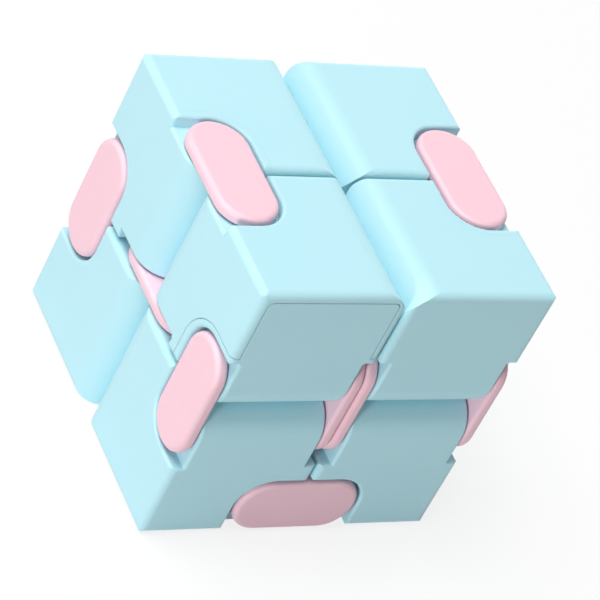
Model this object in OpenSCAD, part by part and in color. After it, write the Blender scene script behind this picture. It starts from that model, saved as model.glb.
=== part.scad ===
// Infinity cube: eight hollow cubes in a closed loop, folded about pairs of link plates.
// The block stands on z = 0, its middle on the z axis, with the front towards -y.

/* [Block] */
// Which piece to show
// Size of the closed block, each way (mm)
block_size = 40; // [32:1:60]
// Gap between neighbouring cubes (mm)
cube_gap = 0.4; // [0.4:0.05:0.6]
// Wall of each hollow cube (mm)
wall = 2; // [1.4:0.1:2.2]
// Radius of the long edge that faces away from both hinges, large enough to clear its
// neighbour when the block is folded about the hinge above or beside it (mm)
soft_edge = 3.75; // [3.7:0.05:4.1]
// Radius of the plain edges (mm)
plain_edge = 0.9; // [0.2:0.1:0.9]

/* [Hinges] */
// Distance from a pivot to the two cube faces beside it (mm)
pivot_in = 4.15; // [3.9:0.05:4.3]
// Radius of a link's round ends (mm)
link_r = 4; // [3.2:0.05:4.1]
// Thickness of a link plate (mm)
link_t = 1.6; // [1.2:0.1:1.7]
// Radius of a link's outer rim (mm)
link_edge = 0.7; // [0.2:0.1:1]
// Radius of a link's inner rim (mm)
link_back = 0.5; // [0.1:0.1:0.5]
// How far a link's face stands above the cube's face (mm)
link_rise = 0.18; // [0:0.02:0.18]
// Space between a link and the walls of its pocket (mm)
pocket_gap = 0.42; // [0.2:0.02:0.6]
// Depth of a link's pocket (mm)
pocket_depth = 1.6; // [1.5:0.05:2.2]
// Radius of a pocket's rim and of its other open edges (mm)
pocket_rim = 0.4; // [0.1:0.05:0.5]
// Thickness of a pocket's floor (mm)
pocket_floor = 1.5; // [1:0.1:2]
// Thickness of the wall round a pocket, inside the cube (mm)
pocket_side = 1.2; // [0.8:0.1:1.2]

/* [Pegs] */
// Radius of a pivot peg (mm)
peg_r = 1.5; // [1:0.1:1.7]
// Clearance round a peg in its hole (mm)
peg_gap = 0.05; // [0.02:0.01:0.1]
// Radius of the snap head on a peg (mm)
head_r = 1.9; // [1.7:0.1:2]
// Height of the snap head (mm)
head_h = 0.8; // [0.5:0.1:1.2]
// Play along a peg, behind the pocket's floor (mm)
head_play = 0.1; // [0.05:0.05:0.2]
// Width of the slot that lets the head close up (mm)
slot_w = 0.6; // [0.4:0.1:0.8]
// Depth of that slot (mm)
slot_depth = 1.8; // [1:0.1:2.4]

/* [Lids] */
// Width of the shell's rim round a lid (mm)
rim = 1.15; // [1:0.05:1.8]
// Radius of a lid's two free corners (mm)
lid_corner = 0.8; // [0.5:0.1:3]
// Width of a lid's ear round its pockets (mm)
ear = 1; // [0.6:0.1:1.1]
// Seam of a lid that is pressed home (mm)
tight_seam = 0.01; // [0.01:0.01:0.1]
// Seam of the lid on the left front upper cube (mm)
loose_seam = 0.06; // [0.04:0.01:0.25]

/* [Hidden] */
$fn = 96;
over = 1;
cube_size = (block_size - cube_gap) / 2;
half = cube_size / 2;
mid = half + cube_gap / 2;
low_z = half;
high_z = cube_size + cube_gap + half;
mid_z = block_size / 2;
pivot_half = pivot_in + cube_gap / 2;
pocket_r = link_r + pocket_gap;
pocket_far = pivot_in + pocket_r;
floor_at = half - pocket_depth;
outer_at = block_size / 2 + link_rise;
inner_at = cube_gap / 2 - link_rise;
side_at = block_size / 2 - pivot_in;
peg_len = pocket_depth + link_rise - link_t + pocket_floor + head_play;
cube_colour = [0.78, 0.93, 0.96];
link_colour = [0.99, 0.82, 0.86];

// What rounding takes off a square corner that sits on the origin.
module corner_cut(r) {
    difference() {
        translate([-over, -over]) square(r + over);
        translate([r, r]) circle(r);
    }
}

// A centred square with a radius for each corner, from the low corner anticlockwise.
module rounded_square(side, radii) {
    difference() {
        square(side, center = true);
        for (k = [0 : 3])
            if (radii[k] > 0)
                rotate(90 * k) translate([-side / 2, -side / 2]) corner_cut(radii[k]);
    }
}

// One cube about the origin, moved in from its faces by inset. The edge along x at low y and
// low z and the edge along z at low x and high y are the hinge edges, round about their pivots.
module cube_block(inset) {
    side = cube_size - 2 * inset;
    plain = max(plain_edge - inset, 0);
    hinge = pivot_in - inset;
    soft = max(soft_edge - inset, 0);
    intersection() {
        rotate([90, 0, 90]) linear_extrude(side, center = true)
            rounded_square(side, [hinge, plain, plain, plain]);
        linear_extrude(side, center = true)
            rounded_square(side, [plain, plain, plain, hinge]);
        rotate([90, 0, 0]) linear_extrude(side, center = true)
            rounded_square(side, [plain, plain, soft, plain]);
    }
}

// The first hinge edge: its corner on the origin, its length along z.
module on_lid_hinge() {
    translate([0, -half, -half]) rotate([90, 0, 90]) children();
}

// The second hinge edge, in the same way.
module on_shell_hinge() {
    translate([-half, half, 0]) mirror([0, 1, 0]) children();
}

module on_both_hinges() {
    on_lid_hinge() children();
    on_shell_hinge() children();
}

module at_both_ends() {
    children();
    mirror([0, 0, 1]) children();
}

// The room that a link needs as it turns, seen along the hinge.
module pocket_outline(grow) {
    far = pocket_far + grow;
    difference() {
        translate([-2 * over, -2 * over]) square(far + 2 * over);
        translate([far, far]) rotate(180) corner_cut(pocket_r + grow);
    }
}

module link_pocket() {
    translate([0, 0, floor_at]) linear_extrude(pocket_depth + over) pocket_outline(0);
}

// What rounds the rim of a pocket: a quarter turn about the pivot and two straight runs.
module rim_profile(at) {
    translate([at, half]) mirror([0, 1]) corner_cut(pocket_rim);
}

module straight_rim() {
    translate([0, pivot_in, 0]) rotate([90, 0, 0])
        linear_extrude(pivot_in + over) rim_profile(pocket_far);
}

module rim_cut() {
    translate([pivot_in, pivot_in, 0]) rotate_extrude(angle = 90) rim_profile(pocket_r);
    straight_rim();
    mirror([1, -1, 0]) straight_rim();
}

// What rounds the open edge of a pocket's floor, in the same way.
module straight_sill() {
    translate([pivot_in, 0, 0]) rotate([90, 0, 90])
        linear_extrude(pocket_far - pivot_in)
            translate([0, floor_at]) mirror([0, 1]) corner_cut(pocket_rim);
}

module sill_cut() {
    translate([pivot_in, pivot_in, 0]) rotate(180) rotate_extrude(angle = 90)
        translate([pivot_in, floor_at]) rotate(180) corner_cut(pocket_rim);
    straight_sill();
    mirror([1, -1, 0]) straight_sill();
}

// What rounds the two upright edges at a pocket's mouth.
module jamb() {
    translate([pocket_far, 0, floor_at])
        linear_extrude(pocket_depth + over) corner_cut(pocket_rim);
}

module jamb_cut() {
    jamb();
    mirror([1, -1, 0]) jamb();
}

module pocket_walls() {
    depth = pocket_depth + pocket_floor;
    translate([0, 0, half - depth])
        linear_extrude(depth + over) pocket_outline(pocket_side);
}

module peg_hole() {
    translate([pivot_in, pivot_in, half - pocket_depth - pocket_floor - over])
        cylinder(r = peg_r + peg_gap, h = pocket_floor + 2 * over);
}

// The hollow inside a cube, which keeps the floors and walls of its four pockets.
module hollow() {
    difference() {
        cube_block(wall);
        on_both_hinges() at_both_ends() pocket_walls();
    }
}

// Shell and lid as one piece, before the seam.
module cube_moulding() {
    difference() {
        cube_block(0);
        hollow();
        on_both_hinges() at_both_ends() link_pocket();
        on_both_hinges() at_both_ends() rim_cut();
        on_both_hinges() at_both_ends() sill_cut();
        on_both_hinges() at_both_ends() jamb_cut();
        on_both_hinges() at_both_ends() peg_hole();
    }
}

// The room of a lid: a plate inside the rim, and the hinge edge with its ears.
module lid_room(seam) {
    plate_w = cube_size - 2 * (rim + seam);
    plate_top = half - rim - seam;
    translate([0, wall - half, 0]) rotate([90, 0, 0]) linear_extrude(wall + over)
        difference() {
            translate([-plate_w / 2, -half - over]) square([plate_w, plate_top + half + over]);
            translate([-plate_w / 2, plate_top]) rotate(-90) corner_cut(lid_corner);
            translate([plate_w / 2, plate_top]) rotate(180) corner_cut(lid_corner);
        }
    on_lid_hinge() translate([0, 0, -half - over])
        linear_extrude(cube_size + 2 * over) pocket_outline(ear - seam);
}

module cube_shell() {
    color(cube_colour) difference() {
        cube_moulding();
        lid_room(0);
    }
}

module cube_lid(seam = tight_seam) {
    color(cube_colour) intersection() {
        cube_moulding();
        lid_room(seam);
    }
}

// Swaps a cube's two hinge edges.
module turned() {
    rotate(a = 180, v = [1, 0, 1]) children();
}

// Stands a cube's lid side up, as in the lower layer.
module laid() {
    mirror([1, 0, 0]) rotate([-90, 0, 0]) children();
}

module at_left_front_upper() {
    translate([-mid, -mid, high_z]) children();
}

module at_left_back_upper() {
    translate([-mid, mid, high_z]) mirror([0, 1, 0]) turned() children();
}

module at_right_front_upper() {
    translate([mid, -mid, high_z]) mirror([1, 0, 0]) turned() children();
}

module at_right_back_upper() {
    translate([mid, mid, high_z]) rotate(180) children();
}

module at_left_front_lower() {
    translate([-mid, -mid, low_z]) laid() turned() children();
}

module at_left_back_lower() {
    translate([-mid, mid, low_z]) mirror([0, 1, 0]) laid() children();
}

module at_right_front_lower() {
    translate([mid, -mid, low_z]) mirror([1, 0, 0]) laid() children();
}

module at_right_back_lower() {
    translate([mid, mid, low_z]) rotate(180) laid() turned() children();
}

// Half of a link's cross-section, with its outer face on y = 0.
module link_section() {
    translate([0, -link_t]) difference() {
        square([link_r, link_t]);
        translate([link_r, link_t]) rotate(180) corner_cut(link_edge);
        translate([link_r, 0]) rotate(90) corner_cut(link_back);
    }
}

module link_plate() {
    for (side = [-1, 1])
        translate([side * pivot_half, 0, 0]) rotate_extrude() link_section();
    rotate([90, 0, 90]) linear_extrude(2 * pivot_half, center = true) {
        link_section();
        mirror([1, 0]) link_section();
    }
}

// A peg below z = 0, with a snap head and the slot that lets it close up.
module snap_peg() {
    tip = peg_len + head_h;
    difference() {
        union() {
            translate([0, 0, -tip]) cylinder(r = peg_r, h = tip);
            translate([0, 0, -tip]) cylinder(r1 = peg_r, r2 = head_r, h = head_h);
        }
        translate([-head_r - over, -slot_w / 2, -tip - over])
            cube([2 * (head_r + over), slot_w, slot_depth + over]);
    }
}

// A link in the xy plane, outer face up, its pivots along x.
module hinge_link(peg_sides = [-1, 1]) {
    color(link_colour) {
        link_plate();
        for (side = peg_sides)
            translate([side * pivot_half, 0, -link_t]) snap_peg();
    }
}

// Links that lie on top of or under a pair of upper cubes, at the left (-1) or the right (1).
module top_link(side, peg_sides = [-1, 1]) {
    translate([side * side_at, 0, block_size + link_rise])
        rotate([0, 0, 90]) hinge_link(peg_sides);
}

module under_link(side, peg_sides = [-1, 1]) {
    translate([side * side_at, 0, mid_z + inner_at])
        rotate([180, 0, 90]) hinge_link(peg_sides);
}

// Links between an upper and a lower cube, at the front (-1) or the back (1), at one x, that
// face left (-1) or right (1).
module upright_link(depth_side, x, faces) {
    translate([x, depth_side * side_at, mid_z]) rotate([0, 90 * faces, 0]) hinge_link();
}

// Links between the lower cubes, at one y, that face the front (-1) or the back (1).
module base_link(y, faces) {
    translate([0, y, pivot_in]) rotate([-90 * faces, 0, 0]) hinge_link();
}

// The right hinge's links have pegs in the front cube only: the loop is open at their back pivot.
open_pegs = [-1];

at_left_front_upper() cube_shell();  // left_front_upper_shell
at_left_front_upper() cube_lid(loose_seam);  // left_front_upper_lid
at_left_back_upper() cube_shell();  // left_back_upper_shell
at_left_back_upper() cube_lid();  // left_back_upper_lid
at_right_front_upper() cube_shell();  // right_front_upper_shell
at_right_front_upper() cube_lid();  // right_front_upper_lid
at_right_back_upper() cube_shell();  // right_back_upper_shell
at_right_back_upper() cube_lid();  // right_back_upper_lid
at_left_front_lower() cube_shell();  // left_front_lower_shell
at_left_front_lower() cube_lid();  // left_front_lower_lid
at_left_back_lower() cube_shell();  // left_back_lower_shell
at_left_back_lower() cube_lid();  // left_back_lower_lid
at_right_front_lower() cube_shell();  // right_front_lower_shell
at_right_front_lower() cube_lid();  // right_front_lower_lid
at_right_back_lower() cube_shell();  // right_back_lower_shell
at_right_back_lower() cube_lid();  // right_back_lower_lid
top_link(-1);  // left_hinge_top_link
under_link(-1);  // left_hinge_under_link
top_link(1, open_pegs);  // right_hinge_top_link
under_link(1, open_pegs);  // right_hinge_under_link
upright_link(-1, -outer_at, -1);  // left_front_hinge_outer_link
upright_link(-1, -inner_at, 1);  // left_front_hinge_inner_link
upright_link(-1, outer_at, 1);  // right_front_hinge_outer_link
upright_link(-1, inner_at, -1);  // right_front_hinge_inner_link
upright_link(1, -outer_at, -1);  // left_back_hinge_outer_link
upright_link(1, -inner_at, 1);  // left_back_hinge_inner_link
upright_link(1, outer_at, 1);  // right_back_hinge_outer_link
upright_link(1, inner_at, -1);  // right_back_hinge_inner_link
base_link(-outer_at, -1);  // front_base_hinge_outer_link
base_link(-inner_at, 1);  // front_base_hinge_inner_link
base_link(outer_at, 1);  // back_base_hinge_outer_link
base_link(inner_at, -1);  // back_base_hinge_inner_link
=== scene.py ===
"""The looks of the folding cube: satin moulded plastic, soft light and the photograph's camera."""

import bpy
from mathutils import Matrix, Vector

MM = 0.001

# Camera, fitted to the block's outline in the photograph (m, and mm for the lens and sensor)
CAMERA_PLACE = (-0.210802, -0.240588, 0.265140)
CAMERA_RIGHT = (0.850045, -0.363848, 0.380840)
CAMERA_UP = (-0.005022, 0.717421, 0.696622)
CAMERA_LENS = 201.32
CAMERA_SENSOR = 36.0
CAMERA_NEAR = 0.01
CAMERA_FAR = 10.0

# Colours, linear
CUBE_COLOUR = (0.525, 0.848, 0.926)
LINK_COLOUR = (0.990, 0.640, 0.725)
FLOOR_COLOUR = (0.60, 0.60, 0.60)
AMBIENT_COLOUR = (0.98, 0.99, 1.0)
WHITE = (1.0, 1.0, 1.0)

# Plastic
PLASTIC_IOR = 1.49
PLASTIC_SPECULAR = 0.5
CUBE_ROUGHNESS = 0.42
LINK_ROUGHNESS = 0.50
SEAM_SOFTNESS = 0.28 * MM  # rounds the shading at the edges of the lid's seam
SEAM_SAMPLES = 6
CLOUD_SCALE = 120.0
CLOUD_DETAIL = 2.0
CLOUD_SHADE = (0.965, 0.985, 0.99)  # the deeper tint, as a share of the colour
GLOSS_SCALE = 700.0
GLOSS_DETAIL = 3.0
GLOSS_NOISE = (0.3, 0.7)
GLOSS_SPREAD = (-0.04, 0.05)
RIPPLE_SCALE = 160.0
RIPPLE_DETAIL = 1.0
RIPPLE_DEPTH = 0.02 * MM
GRAIN_SCALE = 9000.0
GRAIN_DETAIL = 2.0
GRAIN_DEPTH = 0.01 * MM
BUMP_STRENGTH = 0.25

# Floor: half its size (m), and the share of it that the camera sees
FLOOR_REACH = 4.0
FLOOR_VEIL = 0.20

# Light: each lamp's direction from the block's middle, distance and width (m) and power (W)
AMBIENT = 0.16
BLOCK_MIDDLE = (0.0, 0.0, 0.02)
KEY_POWER = 3.58
KEY_FROM = (-0.35, 0.12, 0.93)
KEY_REACH = 0.62
KEY_SIZE = 0.45
SIDE_POWER = 1.38
SIDE_FROM = (-0.79, -0.56, 0.07)
SIDE_REACH = 0.60
SIDE_SIZE = 0.12
BACK_POWER = 1.42
BACK_FROM = (0.70, 0.70, 0.15)
BACK_REACH = 0.60
BACK_SIZE = 0.18


def opaque(colour):
    return (*colour, 1.0)


def moulded_plastic(name, colour, roughness, softness=0.0):
    """Satin plastic: faint cloudiness in the colour, uneven gloss and a fine moulded grain."""
    material = bpy.data.materials.new(name)
    material.use_nodes = True
    tree = material.node_tree
    tree.nodes.clear()
    out = tree.nodes.new("ShaderNodeOutputMaterial")
    shader = tree.nodes.new("ShaderNodeBsdfPrincipled")
    shader.inputs["IOR"].default_value = PLASTIC_IOR
    shader.inputs["Specular IOR Level"].default_value = PLASTIC_SPECULAR
    tree.links.new(shader.outputs["BSDF"], out.inputs["Surface"])
    place = tree.nodes.new("ShaderNodeTexCoord")

    def noise(scale, detail):
        made = tree.nodes.new("ShaderNodeTexNoise")
        made.inputs["Scale"].default_value = scale
        made.inputs["Detail"].default_value = detail
        tree.links.new(place.outputs["Object"], made.inputs["Vector"])
        return made.outputs["Fac"]

    def bump(height, depth):
        made = tree.nodes.new("ShaderNodeBump")
        made.inputs["Strength"].default_value = BUMP_STRENGTH
        made.inputs["Distance"].default_value = depth
        tree.links.new(height, made.inputs["Height"])
        return made

    tint = tree.nodes.new("ShaderNodeMix")
    tint.data_type = "RGBA"
    share, deep_side, plain_side = tint.inputs[0], tint.inputs[6], tint.inputs[7]
    deep_side.default_value = opaque(c * s for c, s in zip(colour, CLOUD_SHADE))
    plain_side.default_value = opaque(colour)
    tree.links.new(noise(CLOUD_SCALE, CLOUD_DETAIL), share)
    tree.links.new(tint.outputs[2], shader.inputs["Base Color"])

    gloss = tree.nodes.new("ShaderNodeMapRange")
    gloss.inputs["From Min"].default_value, gloss.inputs["From Max"].default_value = GLOSS_NOISE
    gloss.inputs["To Min"].default_value = roughness + GLOSS_SPREAD[0]
    gloss.inputs["To Max"].default_value = roughness + GLOSS_SPREAD[1]
    tree.links.new(noise(GLOSS_SCALE, GLOSS_DETAIL), gloss.inputs["Value"])
    tree.links.new(gloss.outputs["Result"], shader.inputs["Roughness"])

    ripple = bump(noise(RIPPLE_SCALE, RIPPLE_DETAIL), RIPPLE_DEPTH)
    if softness:
        soft = tree.nodes.new("ShaderNodeBevel")
        soft.samples = SEAM_SAMPLES
        soft.inputs["Radius"].default_value = softness
        tree.links.new(soft.outputs["Normal"], ripple.inputs["Normal"])
    grain = bump(noise(GRAIN_SCALE, GRAIN_DETAIL), GRAIN_DEPTH)
    tree.links.new(ripple.outputs["Normal"], grain.inputs["Normal"])
    tree.links.new(grain.outputs["Normal"], shader.inputs["Normal"])
    return material


def seen_directly(tree):
    """A socket that is 1 for camera, glossy and transmission rays and 0 for the others."""
    path = tree.nodes.new("ShaderNodeLightPath")
    seen = path.outputs["Is Camera Ray"]
    for ray in ("Is Glossy Ray", "Is Transmission Ray"):
        either = tree.nodes.new("ShaderNodeMath")
        either.operation = "MAXIMUM"
        tree.links.new(seen, either.inputs[0])
        tree.links.new(path.outputs[ray], either.inputs[1])
        seen = either.outputs[0]
    return seen


def mix(tree, first, second):
    """A mix of two shaders, with its share still to be set."""
    made = tree.nodes.new("ShaderNodeMixShader")
    tree.links.new(first.outputs[0], made.inputs[1])
    tree.links.new(second.outputs[0], made.inputs[2])
    return made


def floor_material():
    """A pale floor: to the camera, a thin veil that keeps the object's shadow over the white below."""
    material = bpy.data.materials.new("pale_floor")
    material.use_nodes = True
    tree = material.node_tree
    tree.nodes.clear()
    out = tree.nodes.new("ShaderNodeOutputMaterial")
    matt = tree.nodes.new("ShaderNodeBsdfDiffuse")
    matt.inputs["Color"].default_value = opaque(FLOOR_COLOUR)
    pale = tree.nodes.new("ShaderNodeBsdfDiffuse")
    pale.inputs["Color"].default_value = opaque(WHITE)
    veil = mix(tree, tree.nodes.new("ShaderNodeBsdfTransparent"), pale)
    veil.inputs[0].default_value = FLOOR_VEIL
    pick = mix(tree, matt, veil)
    tree.links.new(seen_directly(tree), pick.inputs[0])
    tree.links.new(pick.outputs[0], out.inputs["Surface"])
    return material


def light_world():
    """White to the camera, and a weak light from all round for the rest."""
    world = bpy.data.worlds.new("studio")
    bpy.context.scene.world = world
    world.use_nodes = True
    tree = world.node_tree
    tree.nodes.clear()
    out = tree.nodes.new("ShaderNodeOutputWorld")

    def background(colour, strength):
        made = tree.nodes.new("ShaderNodeBackground")
        made.inputs["Color"].default_value = opaque(colour)
        made.inputs["Strength"].default_value = strength
        return made

    pick = mix(tree, background(AMBIENT_COLOUR, AMBIENT), background(WHITE, 1.0))
    tree.links.new(seen_directly(tree), pick.inputs[0])
    tree.links.new(pick.outputs[0], out.inputs["Surface"])


def add_area_lamp(name, direction, reach, size, power):
    """A round lamp that faces the block's middle."""
    data = bpy.data.lights.new(name, "AREA")
    data.shape = "DISK"
    data.size = size
    data.energy = power
    lamp = bpy.data.objects.new(name, data)
    bpy.context.scene.collection.objects.link(lamp)
    along = Vector(direction).normalized()
    lamp.location = Vector(BLOCK_MIDDLE) + along * reach
    lamp.rotation_euler = along.to_track_quat("Z", "Y").to_euler()
    return lamp


def add_camera():
    data = bpy.data.cameras.new("camera")
    data.sensor_fit = "HORIZONTAL"
    data.sensor_width = CAMERA_SENSOR
    data.lens = CAMERA_LENS
    data.clip_start = CAMERA_NEAR
    data.clip_end = CAMERA_FAR
    camera = bpy.data.objects.new("camera", data)
    bpy.context.scene.collection.objects.link(camera)
    right = Vector(CAMERA_RIGHT).normalized()
    up = Vector(CAMERA_UP)
    up = (up - up.dot(right) * right).normalized()
    back = right.cross(up)
    turn = Matrix((right, up, back)).transposed()
    camera.matrix_world = Matrix.Translation(CAMERA_PLACE) @ turn.to_4x4()
    bpy.context.scene.camera = camera


def add_floor():
    mesh = bpy.data.meshes.new("floor")
    corners = [(x * FLOOR_REACH, y * FLOOR_REACH, 0) for x, y in ((-1, -1), (1, -1), (1, 1), (-1, 1))]
    mesh.from_pydata(corners, [], [(0, 1, 2, 3)])
    floor = bpy.data.objects.new("floor", mesh)
    bpy.context.scene.collection.objects.link(floor)
    mesh.materials.append(floor_material())


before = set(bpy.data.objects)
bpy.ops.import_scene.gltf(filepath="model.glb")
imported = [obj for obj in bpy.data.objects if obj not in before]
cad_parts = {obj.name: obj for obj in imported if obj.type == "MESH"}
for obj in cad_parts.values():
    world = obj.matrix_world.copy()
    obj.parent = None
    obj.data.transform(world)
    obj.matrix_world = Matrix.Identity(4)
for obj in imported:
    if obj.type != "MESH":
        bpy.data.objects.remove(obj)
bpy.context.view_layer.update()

bpy.context.scene.view_settings.view_transform = "Standard"
cube_plastic = moulded_plastic("cube_plastic", CUBE_COLOUR, CUBE_ROUGHNESS)
seam_plastic = moulded_plastic("seam_plastic", CUBE_COLOUR, CUBE_ROUGHNESS, SEAM_SOFTNESS)
link_plastic = moulded_plastic("link_plastic", LINK_COLOUR, LINK_ROUGHNESS)
for node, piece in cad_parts.items():
    piece.data.materials.clear()
    if node.endswith("_link"):
        piece.data.materials.append(link_plastic)
    else:
        open_seam = node.startswith("left_front_upper")
        piece.data.materials.append(seam_plastic if open_seam else cube_plastic)

add_camera()
add_floor()
light_world()
add_area_lamp("key_lamp", KEY_FROM, KEY_REACH, KEY_SIZE, KEY_POWER)
add_area_lamp("side_lamp", SIDE_FROM, SIDE_REACH, SIDE_SIZE, SIDE_POWER)
back_lamp = add_area_lamp("back_lamp", BACK_FROM, BACK_REACH, BACK_SIZE, BACK_POWER)
back_lamp.visible_glossy = False  # no hard glint along the top edges
